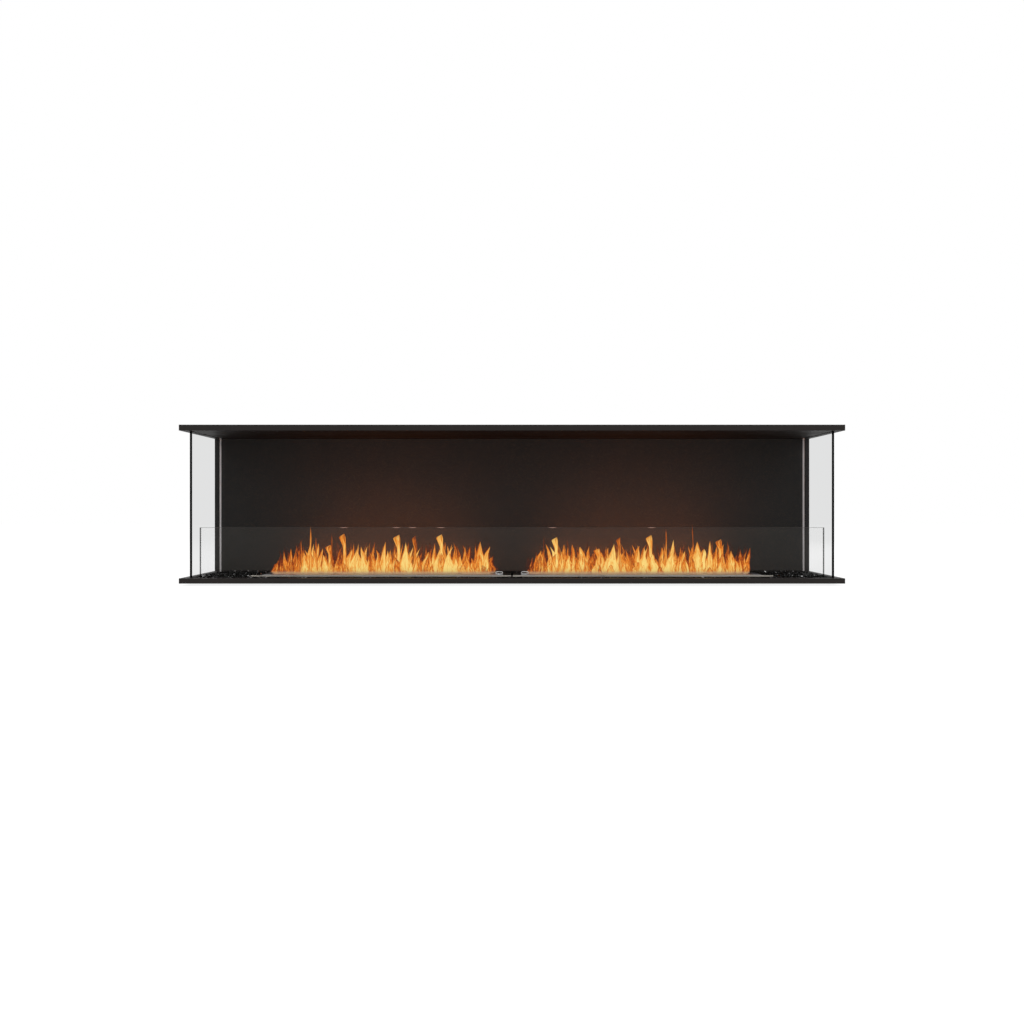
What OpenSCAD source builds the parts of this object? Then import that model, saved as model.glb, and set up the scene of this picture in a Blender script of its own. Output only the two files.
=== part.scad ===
// Three-sided bioethanol fireplace insert: a thin base and top joined by a rear shell,
// fixed glass at both sides, a low lift-out glass screen and two drop-in burners.
// The front faces -Y and up is +Z. The origin is the bottom centre of the whole insert.

/* [Overall] */
// Overall depth from the front edge to the rear casing
unit_d = 460; // [440:5:600]
// Clear height from the base rim to the ceiling
opening_h = 535; // [400:5:800]
// Height of the base rim
rim_h = 19; // [18:0.5:40]
// Height of the top's edge
top_h = 21; // [18:0.5:60]

/* [Sheet metal] */
// Thickness of the floor, ceiling, cover, back panel and rear casing
sheet = 2; // [1.5:0.25:3]
// Thickness of burner, well, rail and channel sheet
thin = 1.5; // [1:0.25:2]

/* [Base] */
// Width of the flat rim along the front edge
front_rim_w = 27; // [20:1:50]
// Width of the flat rim along each side edge
side_rim_w = 25; // [15:1:60]
// How far the burner wells hang below the base
well_drop = 9; // [6:0.5:60]
// Width of the flange that fixes a well under the floor
well_flange = 8; // [4:0.5:12]
// Clearance between a burner's reservoir and its well
well_clear = 2.5; // [1:0.25:4]
// Radius of a support pad
pad_r = 25; // [15:1:40]
// Distance from the end of a burner tray to a pad's centre
pad_offset = 110; // [60:5:140]
// Distance from a front pad's centre to the front edge
pad_front = 155; // [120:5:200]
// Distance from a rear pad's centre to the rear casing
pad_rear = 60; // [45:5:120]

/* [Rear shell] */
// Depth from the back panel's face to the rear casing's outside
rear_shell_d = 20; // [16:1:60]
// Number of posts in the rear shell, and of ribs in the top
post_count = 5; // [3:1:7]
// Distance from the middle of an outermost post to the end of the insert
post_end = 205; // [120:5:400]
// Width of a post and of a rib
post_w = 40; // [30:2:60]
// Number of screws along each post
screw_rows = 3; // [2:1:6]
// Distance from the outer screws to the casing's upper and lower edges
screw_margin = 60; // [30:5:100]
// Radius of a screw's countersunk head
screw_head_r = 4; // [3:0.25:5]
// Radius of a screw's shank
screw_r = 2; // [1.5:0.25:2.5]
// Length of a screw
screw_l = 12; // [8:1:14]
// Radius of a wall-fixing hole
fixing_hole_r = 4.5; // [3:0.25:8]
// Distance from a wall-fixing hole to the casing's end
fixing_inset_x = 105; // [60:5:140]
// Distance from a wall-fixing hole to the casing's upper or lower edge
fixing_inset_z = 70; // [40:5:120]

/* [Top] */
// Air gap between the insulation boards and the cover above them
board_air = 3; // [1:0.5:8]
// Gap from a board to the ribs beside it
board_gap = 5; // [2:1:20]
// Distance from the boards to the front and rear of the top
board_inset = 22; // [10:2:60]
// Gap all round between the ceiling plate and the cover
ceiling_seam = 0.3; // [0.1:0.1:1]

/* [Side glass] */
// Thickness of the side glass
glass_t = 8; // [5:0.5:12]
// Distance from the front edge of the base to the side glass
glass_front = 40; // [34:1:120]
// Open gap between the side glass and the back panel
glass_rear_gap = 30; // [10:1:80]
// Thickness of the rubber between glass and channel
gasket_t = 1.5; // [1:0.25:3]
// Room above the glass inside its upper gasket
glass_play = 1; // [0.5:0.25:2]
// Depth of the dark trim on the front edge of the side glass
edge_trim_d = 3; // [1:0.5:5]
// How far each glass channel runs on past the glass and its trim
channel_over = 2; // [0.5:0.5:4]

/* [Glass screen] */
// Distance from the front edge of the base to the glass screen
screen_front = 86; // [76:1:100]
// Thickness of the glass screen
screen_t = 8; // [5:0.5:10]
// Height of the glass screen
screen_h = 196; // [120:2:240]
// Gap between each end of the screen and the side glass
screen_end_gap = 13; // [5:1:40]
// Clearance on each face of the screen inside its channel
screen_play = 0.6; // [0.4:0.1:1]
// Height of the screen's channel
screen_channel_h = 16; // [10:0.5:17]
// Thickness of the blocks that carry the screen
block_t = 1.7; // [1:0.1:3]
// Length of a block that carries the screen
block_l = 60; // [20:5:100]
// Number of blocks that carry the screen
block_count = 5; // [3:1:9]

/* [Glass stones] */
// Space for stones between a burner tray and the channel of the side glass
end_space = 196.5; // [140:0.5:400]
// How far the bed of stones lies below the rim
bed_drop = 4; // [2:0.5:6]
// Distance from stone to stone
stone_pitch = 44; // [36:2:60]
// Radius of a stone
stone_r = 11; // [8:0.5:14]
// Thickness of a stone
stone_t = 13; // [10:0.5:15]
// Clearance between a bed of stones and what it lies beside
bed_gap = 0.5; // [0.3:0.1:2]

/* [Burner tray] */
// How far a tray runs on past each end of the steel top
tray_end_w = 30.5; // [20:0.5:60]
// Gap between the two trays
tray_gap = 7; // [3:1:30]
// Depth of a tray from front to back
tray_d = 254; // [245:1:290]
// How far the tray's deck lies below the rim
deck_drop = 0.5; // [0:0.25:1.5]
// Clearance between the screen's channel and a tray
tray_clear = 0.6; // [0.3:0.1:2]
// Gap between a tray's skirt and the floor it rests on
seat_gap = 0.3; // [0.1:0.1:0.5]
// Height of the bright strip along a tray's front edge
edge_strip_h = 5.5; // [2:0.5:10]

/* [Burner top] */
// How far the steel top runs on past each end of the flame slot
top_end_w = 29; // [22:0.5:50]
// Depth of a burner's steel top
top_d = 122; // [115:1:150]
// Distance from the tray's front edge to the steel top
top_setback = 50; // [44:1:60]
// Height of the steel top above the deck
lid_h = 4.5; // [3:0.25:12]
// Length of the flame slot, which sets the length of the burners and of the insert
slot_l = 847; // [600:1:1100]
// Width of the flame slot
slot_w = 54; // [40:1:58]
// Distance from the steel top's front edge to the flame slot
slot_setback = 42; // [36:1:52]
// How far the deck's cut-out lies outside the flame slot
deck_lap = 3; // [2:0.25:6]

/* [Reservoir] */
// Distance from the tray's end to the reservoir
reservoir_inset = 13; // [13:0.5:20]
// Distance from the tray's rear edge to the reservoir
reservoir_rear_inset = 18; // [14:0.5:40]
// Gap between the reservoir and the bottom of its well
reservoir_seat = 0.5; // [0.3:0.1:1]
// Thickness of the absorbent pad
pad_t = 9; // [4:0.5:10]
// Gap round the absorbent pad
pad_gap = 1; // [0.5:0.25:5]

/* [Regulator] */
// Thickness of the regulator plate
slide_t = 1.5; // [1:0.25:2]
// How far the closed plate covers past each side of the slot
slide_lap = 2; // [1:0.5:4]
// Gap between the open plate and the slot
slide_open_gap = 1; // [0:0.5:3]
// Gap between the open plate and the reservoir's front wall
slide_end_clear = 1.5; // [1:0.25:3]
// Gap between the plate and the deck above it
slide_drop = 2.2; // [1.8:0.1:3]
// Gap between the plate and the rail under it
rail_play = 0.3; // [0.2:0.1:0.4]
// How far the plate's ends run into the rails
rail_lap = 7; // [4:0.5:10]
// Gap between the stem and the rail beside it
stem_rail_gap = 2.5; // [1:0.5:4]
// Radius of the stem that carries the pull loop
stem_r = 2; // [1.5:0.25:2.5]
// Clearance of the stem in its guide slot
stem_play = 0.6; // [0.3:0.1:1]
// Width of the pull loop
loop_w = 28; // [20:1:30]
// Height of the pull loop
loop_h = 11; // [9:0.5:25]
// Radius of the pull loop's wire
loop_wire_r = 1.25; // [1:0.05:1.5]
// Gap between the pull loop and the steel top
loop_gap = 0.5; // [0.3:0.1:2]

/* [Hidden] */

black = "#1d1d1f";
deep_black = "#141414";
steel = "#b9b2a6";
glass_tint = [0.80, 0.86, 0.86, 0.30];
rubber_black = "#101010";
stone_black = "#0b0c0e";
wool_white = "#cfcabd";
board_grey = "#a8a496";

// Circles are drawn with this many sides
round_fn = 48;
// A cutter runs this far past the face it opens
past = 1;

// Heights
z_under = well_drop;
z_floor = z_under + sheet;
z_rim = z_under + rim_h;
z_ceiling = z_rim + opening_h;
z_top = z_ceiling + top_h;
z_deck = z_rim - deck_drop;
z_lid = z_deck + lid_h;
z_reservoir = thin + reservoir_seat;
z_slide = z_deck - thin - slide_drop - slide_t;
z_bed = z_rim - bed_drop;
z_screen = z_floor + thin + block_t + seat_gap;

// Depths, counted from the front edge of the base
back_face = unit_d - rear_shell_d;
shell_front = back_face + sheet;
shell_rear = unit_d - sheet;
glass_rear = back_face - glass_rear_gap;
trim_front = glass_front - edge_trim_d;
channel_front = trim_front - channel_over;
channel_rear = glass_rear + channel_over;
screen_channel_front = screen_front - screen_play - thin;
screen_channel_rear = screen_front + screen_t + screen_play + thin;
tray_front = screen_channel_rear + tray_clear;
tray_rear = tray_front + tray_d;
top_front = tray_front + top_setback;
slot_front = top_front + slot_setback;
slot_rear = slot_front + slot_w;
slide_w = slot_w + 2 * slide_lap;
slide_travel = slot_w + slide_lap + slide_open_gap;
slide_front = slot_front - slide_lap - slide_travel;
reservoir_front = slide_front - slide_end_clear - thin;
reservoir_rear = tray_rear - reservoir_rear_inset;
stem_open = slide_front + slide_w / 2;

// Lengths of a burner's steel top and tray
top_l = slot_l + 2 * top_end_w;
tray_l = top_l + 2 * tray_end_w;

// Half widths, counted from the middle of the insert
burner_x = (tray_l + tray_gap) / 2;
tray_outer_end = burner_x + tray_l / 2;
channel_inside = tray_outer_end + end_space;
glass_inside = channel_inside + thin + gasket_t;
glass_outside = glass_inside + glass_t;
rim_inside = glass_outside + gasket_t + thin;
half_w = rim_inside + side_rim_w;
screen_half = glass_inside - screen_end_gap;
pad_x = tray_outer_end + pad_offset;

// Half lengths, counted from the middle of a burner
reservoir_half = tray_l / 2 - reservoir_inset;
well_half = reservoir_half + well_clear;
stem_x = (slot_l + top_l) / 4;
rail_inner = stem_x + stem_r + stem_rail_gap;
slide_half = rail_inner + rail_lap;
rail_outer = slide_half + rail_play + thin;

// Distance between the outermost posts, and from post to post
post_span = 2 * (half_w - post_end);
post_pitch = post_span / (post_count - 1);

// A box from its lowest corner to its highest corner
module block(low, high) translate(low) cube(high - low);

// Depths run from the front edge, so the whole insert moves forward by half of its depth
module in_frame() translate([0, -unit_d / 2, 0]) children();

// Burner pieces are drawn for the right-hand burner, with the stem towards the middle
module at_burner(side) mirror([side < 0 ? 1 : 0, 0, 0]) translate([burner_x, 0, 0]) children();

// Side pieces are drawn for the right-hand side
module at_side(side) mirror([side < 0 ? 1 : 0, 0, 0]) children();

// A slot with round ends, running from front to back
module long_slot(x, from, to, r, z_low, z_high) {
    translate([x, from, z_low]) cylinder(h = z_high - z_low, r = r, $fn = round_fn);
    translate([x, to, z_low]) cylinder(h = z_high - z_low, r = r, $fn = round_fn);
    block([x - r, from, z_low], [x + r, to, z_high]);
}

// Base: floor with a hollow folded rim on three sides, and an opening for each burner well
module base_pan() color(black) difference() {
    block([-half_w, 0, z_under], [half_w, unit_d, z_rim]);
    block([-rim_inside, front_rim_w, z_floor], [rim_inside, shell_rear, z_rim + past]);
    block([-half_w + sheet, sheet, z_floor], [half_w - sheet, front_rim_w - sheet, z_rim - sheet]);
    for (side = [-1, 1]) at_side(side)
        block([rim_inside + sheet, sheet, z_floor], [half_w - sheet, unit_d + past, z_rim - sheet]);
    for (side = [-1, 1]) at_burner(side)
        block([-well_half, reservoir_front - well_clear, z_under - past],
            [well_half, reservoir_rear + well_clear, z_floor + past]);
}

// Well under the floor, in which a burner's reservoir hangs
module well_pan(side) color(deep_black) at_burner(side) difference() {
    union() {
        block([-well_half - thin, reservoir_front - well_clear - thin, 0],
            [well_half + thin, reservoir_rear + well_clear + thin, z_under]);
        block([-well_half - thin - well_flange, reservoir_front - well_clear - thin - well_flange,
            z_under - thin],
            [well_half + thin + well_flange, reservoir_rear + well_clear + thin + well_flange,
            z_under]);
    }
    block([-well_half, reservoir_front - well_clear, thin],
        [well_half, reservoir_rear + well_clear, z_under + past]);
}

// Four round pads that carry the ends of the base beside the wells
module support_pads() color(rubber_black)
    for (x = [-pad_x, pad_x], y = [pad_front, unit_d - pad_rear])
        translate([x, y, 0]) cylinder(h = z_under, r = pad_r, $fn = round_fn);

// Top: a shallow pan turned upside down
module top_cover() color(black) difference() {
    block([-half_w, 0, z_ceiling], [half_w, unit_d, z_top]);
    block([-half_w + sheet, sheet, z_ceiling - past], [half_w - sheet, shell_rear, z_top - sheet]);
}

// Ceiling plate inside the cover, with a slot for each side glass
module ceiling_plate() color(black) difference() {
    block([-half_w + sheet + ceiling_seam, sheet + ceiling_seam, z_ceiling],
        [half_w - sheet - ceiling_seam, shell_rear - ceiling_seam, z_ceiling + sheet]);
    for (side = [-1, 1]) at_side(side)
        block([glass_inside - gasket_t, channel_front, z_ceiling - past],
            [glass_outside + gasket_t, channel_rear, z_ceiling + sheet + past]);
}

// Ribs between the ceiling plate and the cover
module top_ribs() color(deep_black)
    for (i = [0 : post_count - 1])
        translate([i * post_pitch - post_span / 2, 0, 0])
            difference() {
                block([-post_w / 2, sheet + ceiling_seam, z_ceiling + sheet],
                    [post_w / 2, shell_rear - ceiling_seam, z_top - sheet]);
                block([-post_w / 2 + thin, sheet, z_ceiling + sheet + thin],
                    [post_w / 2 + past, shell_rear, z_top - sheet - thin]);
            }

// Insulation boards between the ribs
module insulation_boards() color(board_grey)
    for (i = [0 : post_count - 2])
        translate([(i + 0.5) * post_pitch - post_span / 2, 0, 0])
            block([-post_pitch / 2 + post_w / 2 + board_gap, board_inset, z_ceiling + sheet],
                [post_pitch / 2 - post_w / 2 - board_gap, unit_d - board_inset,
                z_top - sheet - board_air]);

// Back panel over the full width, with a narrower foot that stands on the floor
module back_panel() color(black) {
    block([-half_w, back_face, z_rim], [half_w, shell_front, z_ceiling]);
    block([-rim_inside, back_face, z_floor], [rim_inside, shell_front, z_rim]);
}

// Each screw's place on the rear casing: [x, z]
screw_places = [
    for (i = [0 : post_count - 1], j = [0 : screw_rows - 1])
        [i * post_pitch - post_span / 2,
        z_rim + screw_margin + j * (opening_h - 2 * screw_margin) / (screw_rows - 1)]
];

// A countersunk screw pointing forward from the rear face; grow widens it into its hole
module screw(grow) rotate([90, 0, 0]) {
    cylinder(h = sheet, r1 = screw_head_r + grow, r2 = screw_r + grow, $fn = round_fn);
    cylinder(h = screw_l, r = screw_r + grow, $fn = round_fn);
}

module screws(grow)
    for (p = screw_places) translate([p[0], unit_d, p[1]]) screw(grow);

// Clearance round a screw in its hole
screw_clear = 0.1;

// Rear casing: a back sheet with a flange along each end, and the wall-fixing holes
module rear_casing() color(deep_black) difference() {
    union() {
        block([-half_w, shell_rear, z_rim], [half_w, unit_d, z_ceiling]);
        for (side = [-1, 1]) at_side(side)
            block([half_w - sheet, shell_front, z_rim], [half_w, unit_d, z_ceiling]);
    }
    screws(screw_clear);
    for (x = [-half_w + fixing_inset_x, half_w - fixing_inset_x],
        z = [z_rim + fixing_inset_z, z_ceiling - fixing_inset_z])
        translate([x, unit_d + past, z]) rotate([90, 0, 0])
            cylinder(h = sheet + 2 * past, r = fixing_hole_r, $fn = round_fn);
}

// Posts in the rear shell, which carry the top
module rear_posts() color(deep_black) difference() {
    for (i = [0 : post_count - 1])
        translate([i * post_pitch - post_span / 2, 0, 0])
            difference() {
                block([-post_w / 2, shell_front, z_floor], [post_w / 2, shell_rear, z_ceiling]);
                block([-post_w / 2 + thin, shell_front + thin, z_floor - past],
                    [post_w / 2 + past, shell_rear - thin, z_ceiling + past]);
            }
    screws(screw_clear);
}

module rear_screws() color(steel) screws(0);

// Fixed side glass, from its channel in the floor to its channel in the top
module side_glass(side) color(glass_tint) at_side(side)
    block([glass_inside, glass_front, z_floor + thin + gasket_t],
        [glass_outside, glass_rear, z_top - sheet - thin - gasket_t - glass_play]);

// Dark trim over the front edge of the side glass
module edge_trim(side) color(rubber_black) at_side(side)
    block([glass_inside, trim_front, z_rim], [glass_outside, glass_front, z_ceiling]);

// Channel in the base that holds the side glass, level with the rim
module floor_channel(side) color(black) at_side(side) difference() {
    block([channel_inside, channel_front, z_floor], [rim_inside, channel_rear, z_rim]);
    block([channel_inside + thin, channel_front - past, z_floor + thin],
        [rim_inside - thin, channel_rear + past, z_rim + past]);
}

// Channel in the top that holds the side glass, above the ceiling plate
module ceiling_channel(side) color(deep_black) at_side(side) difference() {
    block([channel_inside, channel_front, z_ceiling + sheet], [rim_inside, channel_rear, z_top - sheet]);
    block([channel_inside + thin, channel_front - past, z_ceiling],
        [rim_inside - thin, channel_rear + past, z_top - sheet - thin]);
}

// Rubber round the lower edge of the side glass
module floor_gasket(side) color(rubber_black) at_side(side) difference() {
    block([glass_inside - gasket_t, channel_front, z_floor + thin],
        [glass_outside + gasket_t, channel_rear, z_rim]);
    block([glass_inside, channel_front - past, z_floor + thin + gasket_t],
        [glass_outside, channel_rear + past, z_rim + past]);
}

// Rubber round the upper edge of the side glass
module ceiling_gasket(side) color(rubber_black) at_side(side) difference() {
    block([glass_inside - gasket_t, channel_front, z_ceiling],
        [glass_outside + gasket_t, channel_rear, z_top - sheet - thin]);
    block([glass_inside, channel_front - past, z_ceiling - past],
        [glass_outside, channel_rear + past, z_top - sheet - thin - gasket_t]);
}

// Low glass screen, which lifts out of its channel
module glass_screen() color(glass_tint)
    block([-screen_half, screen_front, z_screen],
        [screen_half, screen_front + screen_t, z_screen + screen_h]);

// Channel in the floor that holds the glass screen
module screen_channel() color(deep_black) difference() {
    block([-channel_inside, screen_channel_front, z_floor],
        [channel_inside, screen_channel_rear, z_floor + screen_channel_h]);
    block([-channel_inside - past, screen_channel_front + thin, z_floor + thin],
        [channel_inside + past, screen_channel_rear - thin, z_rim + past]);
}

// Blocks in the channel that carry the glass screen
module screen_blocks() color(rubber_black)
    for (i = [0 : block_count - 1])
        translate([(i / (block_count - 1) - 0.5) * (2 * screen_half - block_l), 0, 0])
            block([-block_l / 2, screen_channel_front + thin, z_floor + thin],
                [block_l / 2, screen_channel_rear - thin, z_floor + thin + block_t]);

// A number from 0 to 1 that looks random and depends only on i and k
function scatter(i, k) = let (v = sin(i * 127.1 + k * 311.7) * 43758.5) v - floor(v);

// The smallest and largest stone as shares of its radius, and the most that one tilts each way
stone_shrink = 0.8;
stone_grow = 1.1;
stone_tilt = 25;

// One rough five-sided stone, tilted its own way
module stone(i) rotate([
    stone_tilt * (2 * scatter(i, 1) - 1),
    stone_tilt * (2 * scatter(i, 2) - 1),
    360 * scatter(i, 3)
]) cylinder(h = stone_t, r = stone_r * (stone_shrink + (stone_grow - stone_shrink) * scatter(i, 4)),
    $fn = 5, center = true);

// Rough stones scattered over the area from low to high
module scattered_stones(low, high, seed) {
    reach = stone_grow * stone_r + stone_t / 4;
    nx = max(1, floor((high[0] - low[0]) / stone_pitch));
    ny = max(1, floor((high[1] - low[1]) / stone_pitch));
    step = [(high[0] - low[0]) / nx, (high[1] - low[1]) / ny];
    for (i = [0 : nx - 1], j = [0 : ny - 1])
        let (k = seed + i * ny + j,
            loose = [max(0, step[0] / 2 - reach), max(0, step[1] / 2 - reach)])
            translate([low[0] + (i + 0.5) * step[0] + loose[0] * (2 * scatter(k, 5) - 1),
                low[1] + (j + 0.5) * step[1] + loose[1] * (2 * scatter(k, 6) - 1),
                z_bed - stone_t / 3])
                stone(k);
}

// A bed of stones over the area from low to high, with loose stones showing on top
module bed(low, high, seed) color(stone_black) {
    block([low[0], low[1], z_floor], [high[0], high[1], z_bed]);
    intersection() {
        block([low[0], low[1], z_floor], [high[0], high[1], z_rim + stone_t]);
        scattered_stones(low, high, seed);
    }
}

// The half width and the rear of the beds beside the burners
bed_half = channel_inside - bed_gap;
bed_rear = back_face - bed_gap;

module stones_front()
    bed([-bed_half, front_rim_w + bed_gap], [bed_half, screen_channel_front - bed_gap], 0);

module stones_side(side) at_side(side)
    bed([tray_outer_end + bed_gap, screen_channel_rear + bed_gap], [bed_half, bed_rear], 400);

module stones_rear()
    bed([-tray_outer_end, tray_rear + bed_gap], [tray_outer_end, bed_rear], 800);

// The guide slot for the stem, cut from z_low to z_high
module guide_slot(z_low, z_high)
    long_slot(-stem_x, stem_open, stem_open + slide_travel, stem_r + stem_play, z_low, z_high);

// Burner tray: a deck that lies level with the rim, on a skirt that stands on the floor
module burner_tray(side) color(deep_black) at_burner(side) difference() {
    block([-tray_l / 2, tray_front, z_floor + seat_gap], [tray_l / 2, tray_rear, z_deck]);
    block([-tray_l / 2 + thin, tray_front + thin, z_floor],
        [tray_l / 2 - thin, tray_rear - thin, z_deck - thin]);
    block([-slot_l / 2 - deck_lap, slot_front - deck_lap, z_floor],
        [slot_l / 2 + deck_lap, slot_rear + deck_lap, z_deck + past]);
    guide_slot(z_floor, z_deck + past);
}

// Bright strip standing along the front edge of a tray
module edge_strip(side) color(steel) at_burner(side)
    block([-tray_l / 2, tray_front, z_deck], [tray_l / 2, tray_front + thin, z_deck + edge_strip_h]);

// Steel top of a burner: edges folded down outside, and round the flame slot inside
module burner_top(side) color(steel) at_burner(side) difference() {
    union() {
        difference() {
            block([-top_l / 2, top_front, z_deck], [top_l / 2, top_front + top_d, z_lid]);
            block([-top_l / 2 + thin, top_front + thin, z_deck - past],
                [top_l / 2 - thin, top_front + top_d - thin, z_lid - thin]);
        }
        block([-slot_l / 2 - thin, slot_front - thin, z_deck - thin],
            [slot_l / 2 + thin, slot_rear + thin, z_lid]);
    }
    block([-slot_l / 2, slot_front, z_deck - thin - past], [slot_l / 2, slot_rear, z_lid + past]);
    guide_slot(z_deck - past, z_lid + past);
}

// Fuel reservoir: an open box under the tray
module reservoir(side) color(steel) at_burner(side) difference() {
    block([-reservoir_half, reservoir_front, z_reservoir],
        [reservoir_half, reservoir_rear, z_deck - thin]);
    block([-reservoir_half + thin, reservoir_front + thin, z_reservoir + thin],
        [reservoir_half - thin, reservoir_rear - thin, z_deck]);
}

// Absorbent fibre pad on the bottom of the reservoir
module absorbent_pad(side) color(wool_white) at_burner(side)
    block([-reservoir_half + thin + pad_gap, reservoir_front + thin + pad_gap, z_reservoir + thin],
        [reservoir_half - thin - pad_gap, reservoir_rear - thin - pad_gap, z_reservoir + thin + pad_t]);

// Two rails under the deck, in which the ends of the regulator plate run
module regulator_rails(side) color(steel) at_burner(side)
    for (end = [0, 1]) mirror([end, 0, 0])
        difference() {
            block([rail_inner, slide_front - slide_end_clear / 2, z_slide - rail_play - thin],
                [rail_outer, slot_rear + 2 * slide_lap, z_deck - thin]);
            block([rail_inner - past, slide_front - past - slide_end_clear, z_slide - rail_play],
                [rail_outer - thin, slot_rear + 2 * slide_lap + past, z_deck - 2 * thin]);
        }

// Regulator plate, parked in front of the slot and pushed back to close it
module regulator_plate(side) color(steel) at_burner(side)
    block([-slide_half, slide_front, z_slide], [slide_half, slide_front + slide_w, z_slide + slide_t]);

// Pull loop: an oval wire ring upright on a stem from the regulator plate
module pull_loop(side) color(steel) at_burner(side)
    translate([-stem_x, stem_open, 0]) {
        bend_r = loop_h / 2 - loop_wire_r;
        straight = loop_w / 2 - loop_wire_r - bend_r;
        z_middle = z_lid + loop_gap + loop_h / 2;
        translate([0, 0, z_slide + slide_t])
            cylinder(h = z_middle - bend_r - z_slide - slide_t, r = stem_r, $fn = round_fn);
        for (end = [0, 1]) mirror([end, 0, 0])
            translate([straight, 0, z_middle]) rotate([90, 0, 0]) rotate([0, 0, -90])
                rotate_extrude(angle = 180, $fn = round_fn)
                    translate([bend_r, 0]) circle(r = loop_wire_r, $fn = round_fn);
        for (rise = [-bend_r, bend_r])
            translate([-straight, 0, z_middle + rise]) rotate([0, 90, 0])
                cylinder(h = 2 * straight, r = loop_wire_r, $fn = round_fn);
    }

in_frame() base_pan();
in_frame() well_pan(-1);  // well_pan_left
in_frame() well_pan(1);  // well_pan_right
in_frame() support_pads();
in_frame() top_cover();
in_frame() ceiling_plate();
in_frame() top_ribs();
in_frame() insulation_boards();
in_frame() back_panel();
in_frame() rear_casing();
in_frame() rear_posts();
in_frame() rear_screws();
in_frame() side_glass(-1);  // side_glass_left
in_frame() side_glass(1);  // side_glass_right
in_frame() edge_trim(-1);  // edge_trim_left
in_frame() edge_trim(1);  // edge_trim_right
in_frame() floor_channel(-1);  // floor_channel_left
in_frame() floor_channel(1);  // floor_channel_right
in_frame() ceiling_channel(-1);  // ceiling_channel_left
in_frame() ceiling_channel(1);  // ceiling_channel_right
in_frame() floor_gasket(-1);  // floor_gasket_left
in_frame() floor_gasket(1);  // floor_gasket_right
in_frame() ceiling_gasket(-1);  // ceiling_gasket_left
in_frame() ceiling_gasket(1);  // ceiling_gasket_right
in_frame() glass_screen();
in_frame() screen_channel();
in_frame() screen_blocks();
in_frame() stones_front();
in_frame() stones_side(-1);  // stones_left
in_frame() stones_side(1);  // stones_right
in_frame() stones_rear();
in_frame() burner_tray(-1);  // burner_tray_left
in_frame() burner_tray(1);  // burner_tray_right
in_frame() edge_strip(-1);  // edge_strip_left
in_frame() edge_strip(1);  // edge_strip_right
in_frame() burner_top(-1);  // burner_top_left
in_frame() burner_top(1);  // burner_top_right
in_frame() reservoir(-1);  // reservoir_left
in_frame() reservoir(1);  // reservoir_right
in_frame() absorbent_pad(-1);  // absorbent_pad_left
in_frame() absorbent_pad(1);  // absorbent_pad_right
in_frame() regulator_rails(-1);  // regulator_rails_left
in_frame() regulator_rails(1);  // regulator_rails_right
in_frame() regulator_plate(-1);  // regulator_plate_left
in_frame() regulator_plate(1);  // regulator_plate_right
in_frame() pull_loop(-1);  // pull_loop_left
in_frame() pull_loop(1);  // pull_loop_right
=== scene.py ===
"""Looks of a long bioethanol fireplace insert: sheet metal, clear and crushed glass, burners and fire."""

import math
import random

import bmesh
import bpy
from mathutils import Euler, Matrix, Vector


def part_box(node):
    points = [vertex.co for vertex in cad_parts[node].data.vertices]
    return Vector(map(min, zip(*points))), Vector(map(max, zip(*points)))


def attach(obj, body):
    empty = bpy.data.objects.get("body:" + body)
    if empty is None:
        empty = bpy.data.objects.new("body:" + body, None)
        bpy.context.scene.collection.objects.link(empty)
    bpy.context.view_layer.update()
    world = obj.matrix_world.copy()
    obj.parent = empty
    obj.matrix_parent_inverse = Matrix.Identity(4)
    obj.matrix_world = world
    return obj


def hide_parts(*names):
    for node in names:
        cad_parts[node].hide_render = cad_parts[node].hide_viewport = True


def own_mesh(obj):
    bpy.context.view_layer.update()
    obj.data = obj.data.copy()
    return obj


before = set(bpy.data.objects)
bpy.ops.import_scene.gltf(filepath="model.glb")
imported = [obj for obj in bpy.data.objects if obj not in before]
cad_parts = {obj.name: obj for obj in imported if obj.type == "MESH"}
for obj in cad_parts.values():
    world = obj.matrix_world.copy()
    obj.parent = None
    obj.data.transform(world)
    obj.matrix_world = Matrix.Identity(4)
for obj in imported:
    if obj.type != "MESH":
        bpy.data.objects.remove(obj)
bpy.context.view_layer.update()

MM = 0.001
SIDES = {"left": -1, "right": 1}

# Camera, as the photograph was taken: level, straight on, and a little above the burners
PICTURE_PX = 1024
FOCAL_PX = 1005
HORIZON_PX = 509
SENSOR_MM = 36
EYE = Vector((0, -3.864, 0.279))

# Light: a white surround, dimmer where it only lights, and three large soft lamps
SURROUND_LIGHT = 0.55
FLOOR_COLOUR = (0.8, 0.8, 0.8, 1)
FLOOR_SHADED = (0.26, 0.26, 0.26, 1)
FLOOR_GLOW = 0.87
FLOOR_HALF = 14
LAMP_AIM = Vector((0, 0, 0.25))
SOFT_LAMPS = (
    ("key", Vector((-2.4, -3.4, 3.2)), 3.0, 0.30),
    ("fill", Vector((2.8, -3.0, 2.4)), 3.0, 0.21),
    ("rear", Vector((0.8, 3.4, 3.0)), 3.0, 0.34),
)

# How far the middle of the flame slot lies behind the front edge of the steel top
SLOT_BEHIND = 69 * MM

# Firelight of one burner, from lamps of one depth. For what each falls on, the table says its length, height,
# distance behind the slot, turn in degrees, power and colour
FIRE_RED = (1.0, 0.30, 0.10)
FIRE_PALE = (1.0, 0.46, 0.24)
FIRE_DEPTH = 0.07
FIRE_LAMPS = (
    ("wall", 0.72, 0.07, 0.122, (90, 0, 0), 2.15, FIRE_RED),
    ("ceiling", 0.56, 0.14, 0.014, (180, 0, 0), 2.6, FIRE_RED),
    ("plates", 0.80, 0.11, 0.014, (-35, 0, 0), 0.85, FIRE_PALE),
)

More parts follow.
